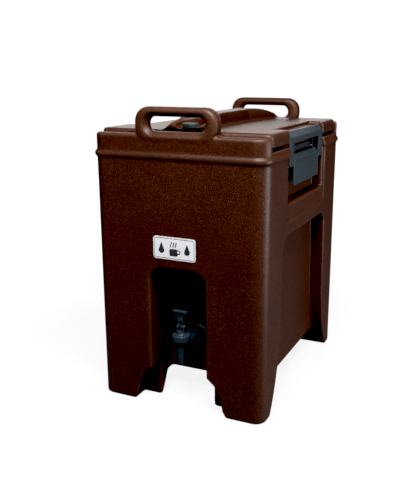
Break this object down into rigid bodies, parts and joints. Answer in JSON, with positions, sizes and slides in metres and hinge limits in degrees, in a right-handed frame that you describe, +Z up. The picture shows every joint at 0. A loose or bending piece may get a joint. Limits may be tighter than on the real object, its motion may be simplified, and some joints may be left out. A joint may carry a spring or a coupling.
{
  "type": "insulated beverage dispenser",
  "caption": "Insulated box-shaped hot drink dispenser with a lift-off lid, wide draw latches, carrying handles and a self-closing faucet in an arched alcove.",
  "frame": {"origin": "on the floor, in the middle of the object's footprint", "axes": "+Z up, front with the faucet faces -Y, latches on +X and -X"},
  "size_m": [0.3918, 0.5208, 0.632],
  "materials": {
    "brown_poly": "satin, fine speckle grain",
    "liner_poly": "smooth satin",
    "foam": "closed-cell foam",
    "slate_nylon": "satin, fine grain",
    "faucet_black": "satin",
    "silicone": "matte",
    "steel": "brushed",
    "label_white": "semi-gloss",
    "label_ink": "matte print"
  },
  "bodies": {
    "body": {"outer_shell": "brown_poly", "foam_core": "foam", "tank_liner": "liner_poly", "foam_plugs": "brown_poly", "wall_sleeve": "faucet_black", "faucet_body": "faucet_black", "faucet_bonnet": "faucet_black", "faucet_lever_pin": "steel", "faucet_collar": "faucet_black", "outer_washer": "silicone", "inner_washer": "silicone", "inner_nut": "faucet_black", "stem_seal": "silicone", "stem_spring": "steel", "label_plate": "label_white", "label_print": "label_ink", "latch_base_right": "slate_nylon", "latch_screws_right": "steel", "latch_lever_pin_right": "steel", "latch_base_left": "slate_nylon", "latch_screws_left": "steel", "latch_lever_pin_left": "steel"},
    "lid": {"lid_shell": "brown_poly", "lid_liner": "liner_poly", "lid_foam": "foam", "lid_gasket": "silicone", "vent_bush": "faucet_black", "vent_seal": "silicone"},
    "vent_cap": {"vent_cap": "slate_nylon"},
    "faucet_lever": {"faucet_lever": "faucet_black"},
    "valve_stem": {"valve_stem": "faucet_black", "seat_cup": "silicone"},
    "latch_lever_right": {"latch_lever_right": "slate_nylon"},
    "latch_frame_right": {"latch_frame_right": "slate_nylon", "latch_frame_pins_right": "steel"},
    "latch_lever_left": {"latch_lever_left": "slate_nylon"},
    "latch_frame_left": {"latch_frame_left": "slate_nylon", "latch_frame_pins_left": "steel"}
  },
  "joints": [
    {"name": "lid_lift", "type": "slide", "parent": "body", "child": "lid", "axis": [0, 0, 1], "range_m": [0, 0.08]},
    {"name": "vent_cap_turn", "type": "hinge", "parent": "lid", "child": "vent_cap", "pos_m": [0, -0.185, 0.588], "axis": [0, 0, 1], "range_deg": [0, 90]},
    {"name": "faucet_lever_tilt", "type": "hinge", "parent": "body", "child": "faucet_lever", "pos_m": [0, -0.239, 0.179], "axis": [1, 0, 0], "range_deg": [0, 35], "stiffness_Nm_per_rad": 0.15, "springref_deg": -17.19},
    {"name": "valve_stem_lift", "type": "slide", "parent": "body", "child": "valve_stem", "axis": [0, 0, 1], "range_m": [0, 0.0041], "deforming": ["stem_spring"]},
    {"name": "latch_right_open", "type": "hinge", "parent": "body", "child": "latch_lever_right", "pos_m": [0.179, 0, 0.523], "axis": [0, -1, 0], "range_deg": [0, 110]},
    {"name": "latch_right_hook", "type": "hinge", "parent": "latch_lever_right", "child": "latch_frame_right", "pos_m": [0.176, 0, 0.511], "axis": [0, -1, 0], "range_deg": [-133, 0]},
    {"name": "latch_left_open", "type": "hinge", "parent": "body", "child": "latch_lever_left", "pos_m": [-0.179, 0, 0.523], "axis": [0, 1, 0], "range_deg": [0, 110]},
    {"name": "latch_left_hook", "type": "hinge", "parent": "latch_lever_left", "child": "latch_frame_left", "pos_m": [-0.176, 0, 0.511], "axis": [0, 1, 0], "range_deg": [-133, 0]}
  ],
  "couplings": [
    {"joint": "valve_stem_lift", "follows": "faucet_lever_tilt", "m_per_rad": 0.0065},
    {"joint": "latch_right_hook", "follows": "latch_right_open", "ratio": -1.2},
    {"joint": "latch_left_hook", "follows": "latch_left_open", "ratio": -1.2}
  ]
}
